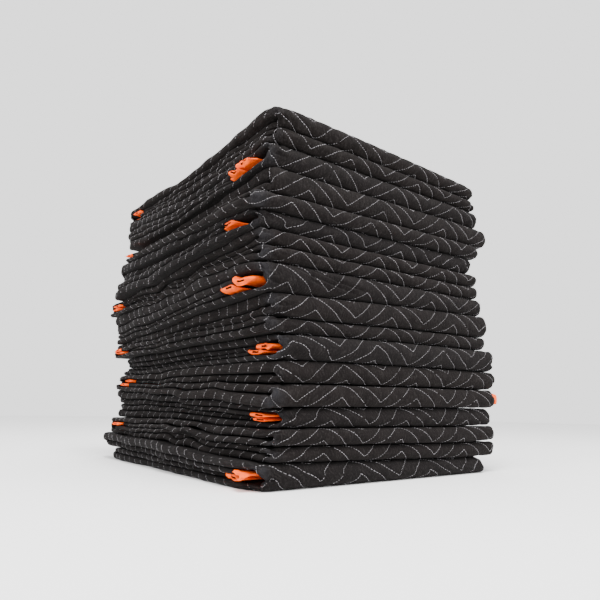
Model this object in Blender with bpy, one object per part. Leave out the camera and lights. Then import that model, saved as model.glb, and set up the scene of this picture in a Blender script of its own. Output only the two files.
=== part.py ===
"""A stack of twelve folded, quilted moving blankets.

Each blanket is folded to a quarter of its width, its two ends are folded in to the middle and it is
then closed like a book. Book edges face the front and the back by turns. X runs across the blankets,
Y along them and Z up; the origin is under the middle of the stack.
"""
import math
from collections import namedtuple

import bmesh
import bpy
from mathutils import Vector

# Driving sizes in metres
STACK_WIDTH = 0.457
STACK_LENGTH = 0.535
ORIGIN = Vector((0.23947, 0.2925, 0.0))
BLANKET_GAP = 0.0008
LAYER_GAP = 0.018
FOLD_HOLLOW = 0.0015
GATE_REACH = 0.013
BOOK_REACH = 0.017
BOOK_WALL = 0.0095
SIDE_REACH = 0.0055
CORNER_RADIUS = 0.026
END_CLEARANCE = 0.0006
BINDING_LENGTH = 0.036
BINDING_PROUD = 0.005
BINDING_FULLNESS = 0.86
TAB_BLANKET = 4
TAB_SIZE = Vector((0.010, 0.016, 0.011))
TAB_FROM_FRONT = 0.020
TAB_SHARE = 0.24
TAB_INSET = 0.0009
TAB_ROUNDING = 0.003
OUTER_SHARE = 0.56

# Mesh steps
BOOK_STEPS = 6
GATE_STEPS = 4
SIDE_ANGLES = (90, 32, -32, -90)
COLUMNS = (0.100, 0.2285, 0.357)
CROSSINGS = (0.100, 0.215, 0.330, 0.445)
CROSSING_ROOM = 0.012

# Each row is one blanket, from the bottom: the side its book edge is on, the share of its height that its
# lower half takes, and in millimetres the heights of its top at the four corners, its left, right, front
# and back edges, how far its sides shift to the right by its back because it lies a little turned, how far
# its upper half lies to the right of its lower half, how far its lower gate fold lies behind the upper one
# (less than 0: in front of it), and how far its two bound ends lie inside the book edge.
Blanket = namedtuple(
    "Blanket",
    "book split front_left front_right back_left back_right left right front back"
    " turn slide tuck lower_end upper_end",
)


def blanket(book, split, *millimetres):
    return Blanket(book, split, *(size / 1000 for size in millimetres))


BLANKETS = (
    blanket("front", 0.46, 33, 24, 46, 50, -3, 457, 2, 587, 6, -10, 35, 40, 18),
    blanket("back", 0.48, 74, 75, 76, 82, 10, 488, -1, 556, -10, 0, 3, 36, 42),
    blanket("front", 0.50, 99, 105, 130, 126, 22, 483, 2, 566, -5, -4, -4, 22, 18),
    blanket("back", 0.50, 159, 167, 160, 160, 12, 495, -2, 564, 0, 8, -3, 42, 58),
    blanket("front", 0.43, 192, 204, 195, 200, 22, 493, -2, 548, -4, 3, -6, 32, 18),
    blanket("back", 0.38, 244, 265, 222, 230, 6, 483, 0, 564, -12, 3, 3, 50, 40),
    blanket("front", 0.34, 286, 294, 281, 287, -8, 472, 0, 552, -3, -3, 10, 54, 20),
    blanket("back", 0.48, 330, 341, 310, 321, -6, 466, 2, 584, -6, 2, -2, 46, 54),
    blanket("front", 0.47, 355, 372, 380, 378, -19, 455, 6, 530, -2, 5, -24, 30, 44),
    blanket("back", 0.40, 419, 434, 410, 412, -16, 483, 0, 490, 10, 32, -3, 30, 38),
    blanket("front", 0.44, 455, 463, 478, 473, -4, 474, 2, 538, 0, 4, 28, 60, 36),
    blanket("back", 0.46, 510, 508, 508, 505, -1, 466, -2, 552, 4, 1, 2, 42, 50),
)
SLIDE_BLEND = 0.4

# Soft hollows and rises that run through the layers: middle, reach along each axis and rise
Swell = namedtuple("Swell", "x y z reach_x reach_y reach_z rise")
SWELLS = (
    Swell(-0.02, 0.37, 0.275, 0.18, 0.15, 0.060, -0.006),
    Swell(-0.01, 0.37, 0.060, 0.18, 0.15, 0.045, 0.004),
    Swell(0.00, 0.26, 0.500, 0.20, 0.19, 0.110, -0.016),
    Swell(0.30, 0.00, 0.230, 0.20, 0.18, 0.080, 0.003),
    Swell(0.30, 0.30, 0.520, 0.20, 0.22, 0.070, -0.003),
    Swell(0.46, 0.30, 0.330, 0.20, 0.16, 0.070, -0.004),
)
FLAT_UNDER = 0.030

# The edge of a strip wanders by two slow waves along its length: size and wavelength of each
EDGE_WAVES = ((0.0028, 0.93), (0.0014, 0.37))

CLOTH_COLOUR = (0.024, 0.020, 0.019, 1.0)
BINDING_COLOUR = (1.0, 0.162, 0.033, 1.0)


def smooth(t):
    t = min(max(t, 0.0), 1.0)
    return t * t * (3 - 2 * t)


def clear_scene():
    for old in list(bpy.data.objects):
        bpy.data.objects.remove(old, do_unlink=True)


def make_material(name, colour, roughness):
    material = bpy.data.materials.new(name)
    material.use_nodes = True
    shader = material.node_tree.nodes["Principled BSDF"]
    shader.inputs["Base Color"].default_value = colour
    shader.inputs["Roughness"].default_value = roughness
    shader.inputs["Metallic"].default_value = 0.0
    return material


def level(number, x, y):
    """Height of the boundary above blanket number, which blends its four corner heights; 0 is the floor."""
    if number == 0:
        return 0.0
    row = BLANKETS[number - 1]
    across, along = x / STACK_WIDTH, y / STACK_LENGTH
    front = row.front_left + (row.front_right - row.front_left) * across
    back = row.back_left + (row.back_right - row.back_left) * across
    return front + (back - front) * along


def swelled(x, y, z):
    """Height after the soft hollows and rises, which die out at the flat underside."""
    shift = 0.0
    for s in SWELLS:
        away = ((x - s.x) / s.reach_x) ** 2 + ((y - s.y) / s.reach_y) ** 2 + ((z - s.z) / s.reach_z) ** 2
        shift += s.rise * math.exp(-away)
    return z + shift * smooth(z / FLAT_UNDER)


def round_corner(from_side, from_end):
    """Turns the square plan corner of a folded strip into a round one."""
    a, b = 1 - from_side / CORNER_RADIUS, 1 - from_end / CORNER_RADIUS
    if a <= 0 or b <= 0:
        return from_side, from_end
    shrink = max(a, b) / math.hypot(a, b)
    return CORNER_RADIUS * (1 - a * shrink), CORNER_RADIUS * (1 - b * shrink)


def side_shift(row, inward, share):
    """How far a blanket's sides lie to the right there, as it lies turned and its upper half has slid."""
    y = row.front + inward if row.book == "front" else row.back - inward
    return row.turn * y / STACK_LENGTH + row.slide * (smooth((share - row.split) / SLIDE_BLEND + 0.5) - 0.5)


def place(number, x, inward, share, shift=0.0):
    """World point of blanket number: x across, inward from the book edge, share of its height."""
    row = BLANKETS[number - 1]
    length = row.back - row.front
    left, right = row.left + shift, row.right + shift
    left_half = x < (left + right) / 2
    from_side = x - left if left_half else right - x
    book_half = inward < length / 2
    from_end = inward if book_half else length - inward
    from_side, from_end = round_corner(from_side, from_end)
    x = left + from_side if left_half else right - from_side
    inward = from_end if book_half else length - from_end
    y = row.front + inward if row.book == "front" else row.back - inward
    under = level(number - 1, x, y) + (BLANKET_GAP / 2 if number > 1 else 0.0)
    over = level(number, x, y) - BLANKET_GAP / 2
    return Vector((x, y, swelled(x, y, under + share * (over - under)))) - ORIGIN


def layer_bounds(row):
    """Height shares of the strip's four runs: outer lower, inner lower, inner upper, outer upper."""
    lower, upper = row.split, 1 - row.split
    half = LAYER_GAP / 2
    marks = (0.0, lower * OUTER_SHARE, lower, 1 - upper * OUTER_SHARE, 1.0)
    lows = [mark + (half if i else 0.0) for i, mark in enumerate(marks[:-1])]
    highs = [mark - (half if i < 3 else 0.0) for i, mark in enumerate(marks[1:])]
    return list(zip(lows, highs))


def run(row, face, back, start, end):
    """One straight run with a station at each crossing, which all layers share, so that they nest."""
    inwards = [y - row.front if row.book == "front" else row.back - y for y in CROSSINGS]
    low, high = min(start, end) + CROSSING_ROOM, max(start, end) - CROSSING_ROOM
    between = sorted((inward for inward in inwards if low < inward < high), reverse=end < start)
    return [(inward, face, inward, back) for inward in (start, *between, end)]


def bend(middle, direction, face, back, reach, hollow, steps):
    """Half turn between two runs, without its two ends, which belong to the runs."""
    found = []
    for i in range(1, steps):
        angle = math.pi * i / steps
        out, turn = math.sin(angle), math.cos(angle)
        face_share = (face[0] + face[1]) / 2 + (face[0] - face[1]) / 2 * turn
        back_share = (back[0] + back[1]) / 2 + (back[0] - back[1]) / 2 * turn
        found.append((middle + direction * reach * out, face_share, middle + direction * hollow * out, back_share))
    return found


def strip_path(row):
    """The folded strip from its lower bound end to its upper one, as stations of face and back."""
    length = row.back - row.front
    outer_low, inner_low, inner_high, outer_high = layer_bounds(row)
    book = BOOK_REACH
    low_gate = length - GATE_REACH - max(row.tuck, 0.0)
    high_gate = length - GATE_REACH + min(row.tuck, 0.0)
    lower_start = row.lower_end + BINDING_LENGTH + END_CLEARANCE
    upper_start = row.upper_end + BINDING_LENGTH + END_CLEARANCE
    path = run(row, inner_low[1], inner_low[0], lower_start, low_gate)
    path += bend(low_gate, 1, (inner_low[1], outer_low[0]), (inner_low[0], outer_low[1]),
                 GATE_REACH, FOLD_HOLLOW, GATE_STEPS)
    path += run(row, outer_low[0], outer_low[1], low_gate, book)
    path += bend(book, -1, (outer_low[0], outer_high[1]), (outer_low[1], outer_high[0]),
                 BOOK_REACH, BOOK_REACH - BOOK_WALL, BOOK_STEPS)
    path += run(row, outer_high[1], outer_high[0], book, high_gate)
    path += bend(high_gate, 1, (outer_high[1], inner_high[0]), (outer_high[0], inner_high[1]),
                 GATE_REACH, FOLD_HOLLOW, GATE_STEPS)
    path += run(row, inner_high[0], inner_high[1], high_gate, upper_start)
    return path


def section(left, right):
    """Points round the strip's flat section: x and side, which is 1 on its face and -1 on its back."""
    inner_left, inner_right = left + SIDE_REACH, right - SIDE_REACH
    points = []
    for angle in SIDE_ANGLES:
        a = math.radians(angle)
        points.append((inner_left - SIDE_REACH * math.cos(a), math.sin(a)))
    points += [(x, -1.0) for x in COLUMNS]
    for angle in reversed(SIDE_ANGLES):
        a = math.radians(angle)
        points.append((inner_right + SIDE_REACH * math.cos(a), math.sin(a)))
    points += [(x, 1.0) for x in reversed(COLUMNS)]
    return points


def edge_wave(number, travelled):
    """How far the strip's side edge wanders at a distance along the strip."""
    return sum(size * math.sin(2 * math.pi * travelled / wavelength + 2.4 * number)
               for size, wavelength in EDGE_WAVES)


def ring_points(number, station, left, right, fullness=1.0):
    """One ring of the strip; left and right are how far its edges stray from the blanket's plain sides."""
    row = BLANKETS[number - 1]
    face_in, face_share, back_in, back_share = station
    shift = side_shift(row, (face_in + back_in) / 2, (face_share + back_share) / 2)
    points = []
    for x, side in section(row.left + shift + left, row.right + shift + right):
        t = (1 + side * fullness) / 2
        inward = back_in + (face_in - back_in) * t
        share = back_share + (face_share - back_share) * t
        points.append(place(number, x, inward, share, shift))
    return points


def loft(name, rings, material, collection):
    """Closed body through rings of equally many points, with a flat cap on each end."""
    bm = bmesh.new()
    loops = [[bm.verts.new(point) for point in ring] for ring in rings]
    for loop, following in zip(loops, loops[1:]):
        for i, vert in enumerate(loop):
            after = (i + 1) % len(loop)
            bm.faces.new((vert, loop[after], following[after], following[i]))
    bm.faces.new(loops[0][::-1])
    bm.faces.new(loops[-1])
    bmesh.ops.recalc_face_normals(bm, faces=bm.faces)
    if bm.calc_volume(signed=True) < 0:
        bmesh.ops.reverse_faces(bm, faces=bm.faces)
    mesh = bpy.data.meshes.new(name)
    bm.to_mesh(mesh)
    bm.free()
    mesh.shade_smooth()
    mesh.set_sharp_from_angle(angle=math.radians(50))
    mesh.materials.append(material)
    body = bpy.data.objects.new(name, mesh)
    collection.objects.link(body)
    return body


def make_blanket(number, material, collection):
    row = BLANKETS[number - 1]
    rings, travelled, last = [], 0.0, None
    for station in strip_path(row):
        middle = place(number, STACK_WIDTH / 2, station[0], station[1])
        travelled += (middle - last).length if last else 0.0
        last = middle
        left, right = edge_wave(number, travelled), edge_wave(number, travelled + 1.0)
        rings.append(ring_points(number, station, left, right))
    return loft(f"blanket_{number:02d}", rings, material, collection)


def make_binding(number, which, material, collection):
    """The bound end of one inner run, a band that stands a little proud of the folds beside it."""
    row = BLANKETS[number - 1]
    inner = layer_bounds(row)[1 if which == "lower" else 2]
    start = row.lower_end if which == "lower" else row.upper_end
    rings = []
    for inward, fullness in ((start, 0.5), (start + 0.004, 1.0), (start + BINDING_LENGTH, 1.0)):
        station = (inward, inner[1], inward, inner[0])
        rings.append(ring_points(number, station, -BINDING_PROUD, -SIDE_REACH, BINDING_FULLNESS * fullness))
    return loft(f"end_binding_{number:02d}_{which}", rings, material, collection)


def make_tab(material, collection):
    """The folded corner of binding that stands out of one blanket's right side, near its front."""
    row = BLANKETS[TAB_BLANKET - 1]
    inward = row.back - row.front - TAB_FROM_FRONT
    shift = side_shift(row, inward, TAB_SHARE)
    side = place(TAB_BLANKET, row.right + shift - TAB_INSET, inward, TAB_SHARE, shift)
    bm = bmesh.new()
    bmesh.ops.create_cube(bm, size=1.0)
    bmesh.ops.scale(bm, vec=TAB_SIZE, verts=bm.verts)
    bmesh.ops.bevel(bm, geom=bm.edges[:], offset=TAB_ROUNDING, segments=2, profile=0.5, affect="EDGES")
    bmesh.ops.translate(bm, vec=side + Vector((TAB_SIZE.x / 2, 0.0, 0.0)), verts=bm.verts)
    mesh = bpy.data.meshes.new("corner_binding_04")
    bm.to_mesh(mesh)
    bm.free()
    mesh.shade_smooth()
    mesh.materials.append(material)
    tab = bpy.data.objects.new("corner_binding_04", mesh)
    collection.objects.link(tab)
    return tab


def main():
    clear_scene()
    collection = bpy.data.collections.new("moving_blanket_stack")
    bpy.context.scene.collection.children.link(collection)
    cloth = make_material("quilted_cloth", CLOTH_COLOUR, 0.92)
    tape = make_material("binding_tape", BINDING_COLOUR, 0.55)
    for number in range(1, len(BLANKETS) + 1):
        make_blanket(number, cloth, collection)
        for which in ("lower", "upper"):
            make_binding(number, which, tape, collection)
    make_tab(tape, collection)


main()
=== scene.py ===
"""Dresses the stack of folded moving blankets: quilted cloth, stitching, bound ends and a plain stage."""
import math
from collections import namedtuple

import bpy
import numpy as np
from mathutils import Matrix, Vector


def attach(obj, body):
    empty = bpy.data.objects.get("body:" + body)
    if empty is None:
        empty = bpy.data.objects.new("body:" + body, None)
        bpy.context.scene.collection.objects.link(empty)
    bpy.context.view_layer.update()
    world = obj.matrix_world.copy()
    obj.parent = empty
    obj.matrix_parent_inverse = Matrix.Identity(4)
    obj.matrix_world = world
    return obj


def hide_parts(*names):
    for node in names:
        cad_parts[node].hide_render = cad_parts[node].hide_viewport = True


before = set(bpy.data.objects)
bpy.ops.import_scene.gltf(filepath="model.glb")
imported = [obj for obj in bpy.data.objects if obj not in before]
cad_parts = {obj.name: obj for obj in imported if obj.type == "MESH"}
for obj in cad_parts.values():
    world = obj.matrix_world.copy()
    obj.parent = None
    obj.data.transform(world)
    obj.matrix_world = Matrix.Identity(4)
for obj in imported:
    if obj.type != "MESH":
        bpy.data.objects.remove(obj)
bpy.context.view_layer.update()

bl_info = {
    "name": "Folded moving blankets",
    "version": (1, 0, 0),
    "blender": (4, 5, 0),
    "location": "3D View > Sidebar > Blankets",
    "description": "Makes a stack of folded, quilted moving blankets with stitching and bound ends",
    "category": "Object",
}

# Lengths are in metres, in the stack's own frame, whose zero of x and y is its plan's front left corner.
# The plan, the part's middle in that frame, and the gap between two blankets
STACK_WIDTH = 0.457
STACK_LENGTH = 0.535
ORIGIN = np.array((0.23947, 0.2925, 0.0))
BLANKET_GAP = 0.0005

# The layers of a blanket, as shares of its height: the gap between two, the outer one's share of its
# half, and the stretch in which the upper half slides; and the height below which the stack lies flat
LAYER_GAP = 0.018
OUTER_SHARE = 0.56
SLIDE_BLEND = 0.4
FLAT_UNDER = 0.030

# The folds: how far gate and book folds reach, the hollow inside, the book edge's thickness and their
# fullness
GATE_REACH = 0.013
BOOK_REACH = 0.017
FOLD_HOLLOW = 0.0015
BOOK_WALL = 0.0095
FOLD_FULLNESS = 0.72

# The sides: how far they bulge and how full; how far a fold's ends draw in at its top and bottom, and how
# fast that dies out behind the fold; and the corners in plan
SIDE_REACH = 0.0062
SIDE_FULLNESS = 0.70
FOLD_END_LEFT = 0.004
FOLD_END_RIGHT = 0.008
FOLD_END_LENGTH = 0.022
FRONT_CORNER_RADIUS = 0.018
BACK_CORNER_RADIUS = 0.024
TOP_CORNER_RADIUS = 0.027

# The bound ends: gap to the cloth, length along the strip, bulge and fullness, and how much of the length
# shows before the end sinks in, for those that show less than the others
END_CLEARANCE = 0.0006
BINDING_LENGTH = 0.036
BINDING_REACH = 0.0055
BINDING_FULLNESS = 0.86
BINDING_SHOWN = {(1, "upper"): 0.62, (3, "lower"): 0.75, (9, "upper"): 0.62, (11, "lower"): 0.72}
MOST_SHOWN = 0.90

# Their left ends: thickness, how wide and deep they gape, depth and place (in degrees round the end) of
# their two lengthwise folds, how far the edge wanders, and the columns from the left end to the middle
BINDING_THICKNESS = 0.0046
GAPE_WIDTH = 0.0018
GAPE_DEPTH = 0.0065
TAPE_FOLD_DEPTH = 0.0013
TAPE_FOLDS_AT = (-48, 44)
EDGE_WANDER = 0.0016
BINDING_COLUMNS = (0.010, 0.022, 0.040, 0.10, 0.25, 0.42)

# The small tape end sewn to the fourth blanket: its size, its place, how deep it is set in, and its form
# as the depth and size of each ring, where the last rings turn into its open end
TAB_BLANKET = 4
TAB_SIZE = (0.017, 0.017, 0.019)
TAB_FROM_FRONT = 0.020
TAB_SHARE = 0.27
TAB_INSET = 0.008
TAB_RINGS = ((0.0, 0.90), (0.2, 0.97), (0.5, 1.0), (0.8, 0.98), (0.95, 0.90), (1.0, 0.72), (0.99, 0.56),
             (0.86, 0.48), (0.80, 0.30))
TAB_OPEN_RINGS = 3

# How the stitches draw the cloth in: half the groove's width, how much less of it shows on the sides, and
# the size of its slack stretches
GROOVE_WIDTH = 0.0042
SIDE_CALM = 0.94
SLACK_SIZE = 0.045

# The puckers at the corners of the folds: how far they reach, the size and the width of their lines
PUCKER_REACH = 0.028
PUCKER_SIZE = 0.014
PUCKER_LINE = 0.28

# Stitches that show: how far they stray from their row, the part of the side's rim where they do, on folds
# and elsewhere, how many of them are lost in the cloth, on the sides and everywhere, and how near to a low
# point's fold the front is
STITCH_WANDER = 0.00018
FOLD_RIM = 0.0022
CREASE_RIM = 0.0040
LOST_ON_SIDES = 0.12
LOST_STITCHES = 0.025
FRONT_DEPTH = 0.016

# How far from a fold's corner its cloth is rubbed and carries a painted sheen, and how much of the greyer
# cloth is in each blanket by turns
WEAR_AND_SHEEN_REACH = 0.026
TINTS = (0.15, 0.70, 0.30, 0.55)

# Mesh steps
SIDE_SPACING = 0.0055
BOOK_STEPS = 30
GATE_STEPS = 18
SIDE_STEPS = 10
FACE_COLUMNS = 124
BACK_COLUMNS = 12
FULL_MARGIN = 0.018
SPARSE_EVERY = 12
BINDING_STEPS = 26
MOUTH_STEPS = 28

# The lowest blankets, whose side layers lie open enough to show their stitches to the creases
WHOLE_STITCH_BLANKETS = 3

# Each row is one blanket, from the bottom: the side its book edge is on, the share of its height that its
# lower half takes, and in millimetres the heights of its top at the four corners, its left, right, front
# and back edges, how far its sides shift to the right by its back, how far its upper half lies to the right
# of its lower half, how far its lower gate fold lies behind the upper one, how far its two bound ends lie
# inside the book edge, x and z of one low point of its zigzag stitching on the front, how far the left
# ends of its lower and upper binding stand out, how far its inner layers lie inside the outer ones at its
# sides, and how far the left noses of its folds are dented.
Blanket = namedtuple(
    "Blanket",
    "book split front_left front_right back_left back_right left right front back"
    " turn slide tuck lower_end upper_end point_x point_z lower_proud upper_proud inset dent",
)


def blanket(book, split, *millimetres):
    return Blanket(book, split, *(size / 1000 for size in millimetres))


BLANKETS = (
    blanket("front", 0.46, 33, 24, 46, 50, -3, 457, 2, 587, 6, -10, 50, 40, 18, 86, 8, 6, 8, 3, 4),
    blanket("back", 0.48, 74, 75, 76, 82, 10, 488, -1, 556, -10, 0, 3, 36, 42, 168, 53, -7, 5, -1, 3),
    blanket("front", 0.50, 99, 105, 130, 126, 22, 483, 2, 566, -5, -4, -4, 22, 18, 178, 78, 4, 5, 2, 5),
    blanket("back", 0.50, 159, 167, 160, 160, 12, 495, -2, 564, 0, 8, -3, 42, 58, 53, 152, 3, 4, 3.5, 3),
    blanket("front", 0.43, 192, 204, 195, 200, 22, 493, -2, 548, -4, 3, -6, 32, 18, 119, 182, 6, 5, 3, 5),
    blanket("back", 0.38, 244, 265, 222, 230, 6, 483, 0, 564, -12, 3, 3, 50, 40, 152, 225, 3, 4, -1, 3),
    blanket("front", 0.34, 286, 294, 281, 287, -8, 472, 0, 552, -3, -3, 10, 54, 20, 101, 256, 9, 9, 1, 10),
    blanket("back", 0.48, 330, 341, 310, 321, -6, 466, 2, 584, -6, 2, -2, 46, 54, 133, 318, 3, 4, 2, 3),
    blanket("front", 0.47, 355, 372, 380, 378, -19, 455, 6, 530, -2, 5, -24, 30, 44, 187, 338, -7, 7, 3, 5),
    blanket("back", 0.40, 419, 434, 410, 412, -16, 483, 0, 490, 10, 32, -3, 30, 38, 123, 393, 7, -7, 1, 3),
    blanket("front", 0.44, 455, 463, 478, 473, -4, 474, 2, 538, 0, 4, 28, 60, 36, 172, 424, 7, 9, -1, 6),
    blanket("back", 0.46, 513, 508, 508, 505, 3, 466, -2, 552, 1, 1, 2, 42, 50, 219, 481, -7, 5, 3, 3),
)

# Soft hollows and rises that run through the layers: middle, reach along each axis and rise
Swell = namedtuple("Swell", "x y z reach_x reach_y reach_z rise")
SWELLS = (
    Swell(-0.02, 0.37, 0.275, 0.18, 0.15, 0.060, -0.006),
    Swell(-0.01, 0.37, 0.060, 0.18, 0.15, 0.045, 0.004),
    Swell(0.00, 0.26, 0.500, 0.20, 0.19, 0.110, -0.016),
    Swell(0.30, 0.00, 0.230, 0.20, 0.18, 0.080, 0.003),
    Swell(0.30, 0.30, 0.520, 0.20, 0.22, 0.070, -0.003),
    Swell(0.46, 0.30, 0.330, 0.20, 0.16, 0.070, -0.004),
)

# Small buckles of the left side's layers, in the same way
BUCKLES = (
    Swell(0.00, 0.190, 0.515, 0.100, 0.115, 0.050, -0.0050),
    Swell(0.00, 0.290, 0.053, 0.050, 0.022, 0.015, 0.0036),
    Swell(0.00, 0.245, 0.048, 0.050, 0.018, 0.014, -0.0036),
    Swell(0.00, 0.205, 0.056, 0.050, 0.022, 0.015, 0.0036),
    Swell(0.00, 0.330, 0.304, 0.060, 0.030, 0.022, -0.0060),
    Swell(0.00, 0.285, 0.292, 0.060, 0.020, 0.018, 0.0040),
    Swell(0.00, 0.225, 0.292, 0.060, 0.026, 0.020, -0.0060),
    Swell(0.00, 0.170, 0.290, 0.060, 0.026, 0.020, 0.0040),
    Swell(0.00, 0.150, 0.120, 0.050, 0.026, 0.020, 0.0035),
    Swell(0.00, 0.240, 0.118, 0.050, 0.024, 0.018, -0.0035),
    Swell(0.00, 0.200, 0.380, 0.050, 0.026, 0.022, -0.0045),
    Swell(0.00, 0.270, 0.395, 0.050, 0.030, 0.022, 0.0040),
    Swell(0.00, 0.350, 0.150, 0.050, 0.030, 0.020, -0.0035),
    Swell(0.47, 0.220, 0.250, 0.050, 0.030, 0.022, 0.0040),
    Swell(0.47, 0.380, 0.140, 0.050, 0.030, 0.020, -0.0040),
)

# The sides and the back ruffle by noise: rise and size of its forms, and for each ruffled edge its axis
# (0 for x, 1 for y), its place and how far in the ruffles reach
RUFFLE_RISE = 0.0032
RUFFLE_SIZE = 0.070
RUFFLED_EDGES = ((0, 0.0, 0.055), (0, 0.475, 0.045), (1, 0.555, 0.045))

# The edge of a strip wanders by waves along its length: size and wavelength of each
EDGE_WAVES = (
    (0.0028, 0.93), (0.0014, 0.37), (0.0016, 0.61), (0.0012, 0.171), (0.0008, 0.083), (0.0005, 0.047),
)

# Creases in the fronts and sides of the folds: the blanket, and in millimetres both ends, width and depth
Crease = namedtuple("Crease", "number x1 y1 z1 x2 y2 z2 width depth")
CREASES = (
    Crease(7, 44, 0, 284, 156, 0, 261, 2.8, 4.2),
    Crease(7, 64, 2, 288, 146, 0, 272, 2.4, 3.2),
    Crease(7, 60, 0, 272, 124, 0, 257, 2.4, 2.4),
    Crease(7, 108, 0, 278, 186, 0, 266, 2.4, 2.8),
    Crease(7, 6, 0, 262, 40, 0, 252, 3.4, 3.0),
    Crease(7, 4, 4, 276, 26, 0, 282, 2.8, 2.2),
    Crease(7, 2, 2, 270, 22, 0, 266, 2.4, 2.0),
    Crease(6, 8, 0, 236, 30, 0, 246, 2.8, 2.6),
    Crease(6, 16, 0, 228, 44, 0, 232, 2.6, 2.2),
    Crease(6, 10, 0, 220, 30, 0, 212, 2.6, 2.0),
    Crease(6, 4, 0, 240, 14, 0, 224, 2.6, 2.0),
    Crease(5, 26, 0, 180, 58, 0, 186, 3.4, 1.8),
    Crease(5, 30, 0, 172, 64, 0, 166, 3.2, 1.2),
    Crease(4, 18, 0, 150, 36, 0, 140, 3.6, 1.8),
    Crease(3, 26, 0, 92, 52, 0, 86, 3.4, 2.0),
    Crease(3, 30, 0, 84, 60, 0, 92, 3.0, 1.2),
    Crease(2, 14, 0, 62, 38, 0, 56, 3.6, 1.8),
    Crease(2, 16, 0, 52, 44, 0, 46, 3.0, 1.2),
    Crease(1, 6, 2, 20, 30, 2, 10, 3.6, 1.6),
    Crease(8, 8, 2, 312, 34, 2, 304, 3.6, 1.8),
    Crease(9, -14, 6, 350, 16, 6, 342, 3.8, 2.0),
    Crease(10, -12, 0, 398, 18, 0, 388, 3.6, 1.6),
    Crease(10, -10, 0, 378, 22, 0, 372, 3.0, 1.4),
    Crease(11, 4, 2, 444, 20, 2, 428, 3.4, 1.6),
    Crease(12, 4, 0, 492, 14, 0, 470, 3.4, 1.4),
    Crease(12, 150, -2, 470, 215, -2, 466, 3.4, 0.9),
    Crease(10, 240, 0, 404, 300, 0, 398, 3.6, 0.9),
    Crease(6, 250, 0, 236, 318, 0, 230, 3.6, 0.9),
    Crease(4, 300, -2, 146, 372, -2, 140, 3.6, 0.9),
    Crease(8, 210, 2, 322, 262, 2, 316, 3.4, 0.9),
    Crease(3, 330, 2, 90, 400, 2, 84, 3.4, 0.9),
)


# Large primes that scatter the cells of the noise
AXIS_PRIMES = (73856093, 19349663, 83492791)
SEED_PRIME = 7919
SPREAD_PRIME = 1274126177


def smooth(t):
    t = np.clip(t, 0.0, 1.0)
    return t * t * (3 - 2 * t)


def soft_noise(points, size, seed):
    """Smooth noise from -1 to 1 at points, with forms about size across."""
    scaled = np.asarray(points) / size + 17.0 * seed
    cell = np.floor(scaled).astype(np.int64)
    part = scaled - cell
    part = part * part * (3 - 2 * part)
    total = 0.0
    for corner in np.ndindex(2, 2, 2):
        at = cell + np.array(corner)
        mixed = seed * SEED_PRIME
        for axis, prime in enumerate(AXIS_PRIMES):
            mixed = mixed ^ (at[..., axis] * prime)
        mixed = (mixed ^ (mixed >> 13)) * SPREAD_PRIME
        height = ((mixed ^ (mixed >> 16)) & 0xFFFF) / 32767.5 - 1
        weight = np.prod(np.where(np.array(corner), part, 1 - part), axis=-1)
        total = total + height * weight
    return total


def level(number, x, y):
    """Height of the boundary above blanket number, blended from its corners; number 0 is the floor."""
    if number == 0:
        return 0.0 * x
    row = BLANKETS[number - 1]
    across, along = x / STACK_WIDTH, y / STACK_LENGTH
    front = row.front_left + (row.front_right - row.front_left) * across
    back = row.back_left + (row.back_right - row.back_left) * across
    return front + (back - front) * along


def swelled(x, y, z):
    """Height after the soft hollows, buckles and ruffles, which die out at the flat underside."""
    shift = 0.0
    for s in SWELLS + BUCKLES:
        away = ((x - s.x) / s.reach_x) ** 2 + ((y - s.y) / s.reach_y) ** 2 + ((z - s.z) / s.reach_z) ** 2
        shift = shift + s.rise * np.exp(-away)
    beside = 0.0
    for place_on, edge, width in RUFFLED_EDGES:
        beside = beside + np.exp(-(((x, y)[place_on] - edge) / width) ** 2)
    forms = soft_noise(np.stack(np.broadcast_arrays(0.4 * x, y, 1.3 * z), axis=-1), RUFFLE_SIZE, 3)
    shift = shift + RUFFLE_RISE * np.minimum(beside, 1.0) * forms
    return z + shift * smooth(z / FLAT_UNDER)


def round_corner(from_side, from_end, radius):
    """Turns the square plan corner of a folded strip into a round one."""
    a, b = 1 - from_side / radius, 1 - from_end / radius
    inside = (a <= 0) | (b <= 0)
    a, b = np.where(inside, 1.0, a), np.where(inside, 1.0, b)
    shrink = np.maximum(a, b) / np.hypot(a, b)
    return (np.where(inside, from_side, radius * (1 - a * shrink)),
            np.where(inside, from_end, radius * (1 - b * shrink)))


def side_shift(row, inward, share):
    """How far a blanket's sides lie to the right there, as it lies turned and its upper half has slid."""
    y = row.front + inward if row.book == "front" else row.back - inward
    slid = smooth((share - row.split) / SLIDE_BLEND + 0.5) - 0.5
    return row.turn * y / STACK_LENGTH + row.slide * slid


def place(number, x, inward, share, shift=0.0):
    """World points of blanket number: x across, inward from the book edge, share of its height."""
    row = BLANKETS[number - 1]
    length = row.back - row.front
    x, inward, share = np.broadcast_arrays(x, inward, share)
    left, right = row.left + shift, row.right + shift
    left_half = x < (left + right) / 2
    from_side = np.where(left_half, x - left, right - x)
    book_half = inward < length / 2
    from_end = np.where(book_half, inward, length - inward)
    at_front = book_half if row.book == "front" else ~book_half
    front_radius = TOP_CORNER_RADIUS if number == len(BLANKETS) else FRONT_CORNER_RADIUS
    radius = np.where(at_front, front_radius, BACK_CORNER_RADIUS)
    from_side, from_end = round_corner(from_side, from_end, radius)
    x = np.where(left_half, left + from_side, right - from_side)
    inward = np.where(book_half, from_end, length - from_end)
    y = row.front + inward if row.book == "front" else row.back - inward
    under = level(number - 1, x, y) + (BLANKET_GAP / 2 if number > 1 else 0.0)
    over = level(number, x, y) - BLANKET_GAP / 2
    z = swelled(x, y, under + share * (over - under))
    return np.stack((x, y, z), axis=-1) - ORIGIN


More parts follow.
